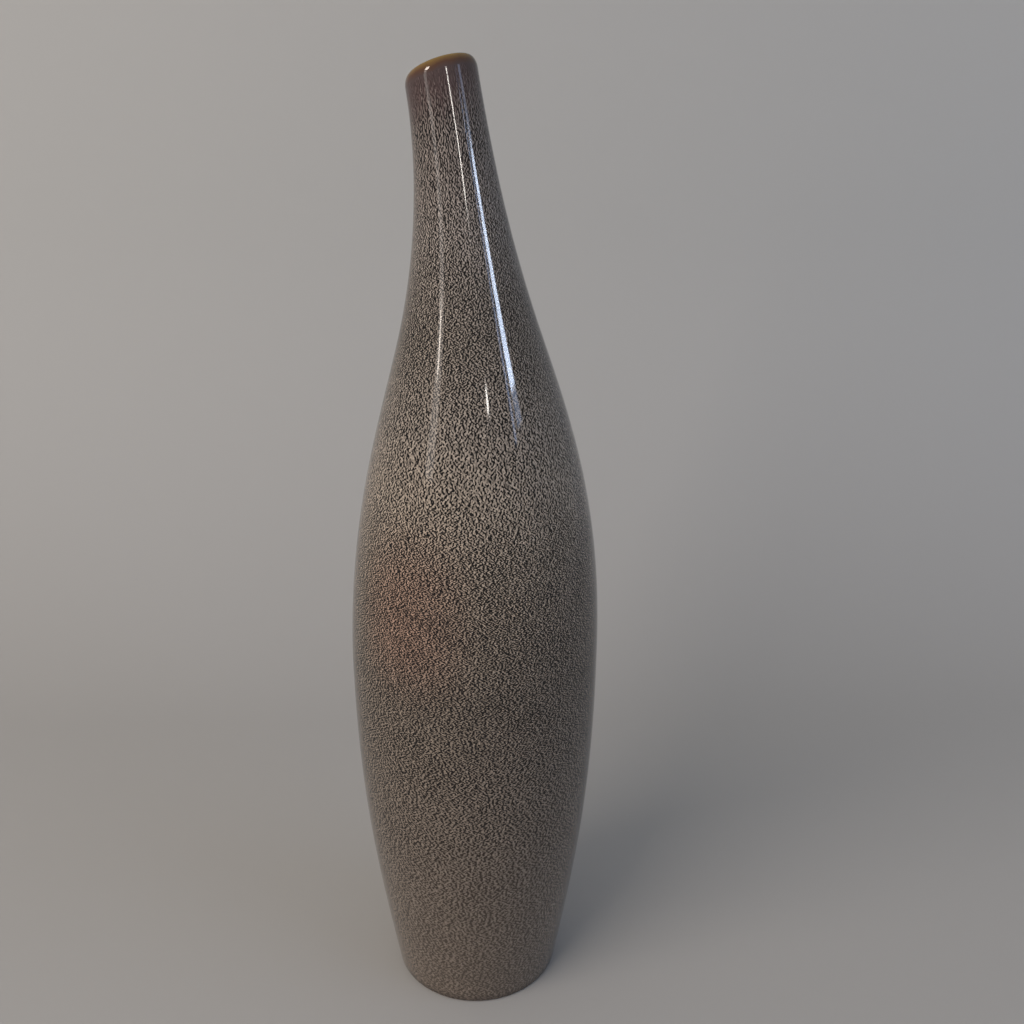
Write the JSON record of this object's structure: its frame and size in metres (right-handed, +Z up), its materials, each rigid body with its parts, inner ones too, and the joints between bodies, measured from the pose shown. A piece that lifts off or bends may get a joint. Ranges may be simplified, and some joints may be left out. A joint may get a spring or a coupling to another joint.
{
  "type": "bud vase",
  "caption": "Tall bud vase with a full belly, a thin neck that sways and leans to one side, and a small slanted mouth, glazed inside and out above a dry foot ring.",
  "frame": {"origin": "on the table, under the middle of the foot ring", "axes": "+Z up, along the upright axis of the foot and belly; the neck leans toward -X, and the vase is alike on both sides of the XZ plane"},
  "size_m": [0.1052, 0.1052, 0.3983],
  "materials": {
    "bare_stoneware": "dry, unglazed, fine-grained",
    "speckled_glaze": "glossy reactive glaze, cream over dark brown in fine specks",
    "amber_glaze": "glossy amber-brown glaze without specks",
    "recess_glaze": "thin semi-gloss brown glaze"
  },
  "bodies": {
    "root": {"clay_body": "bare_stoneware", "outer_glaze": "speckled_glaze", "liner_glaze": "amber_glaze", "base_glaze": "recess_glaze"}
  },
  "joints": []
}
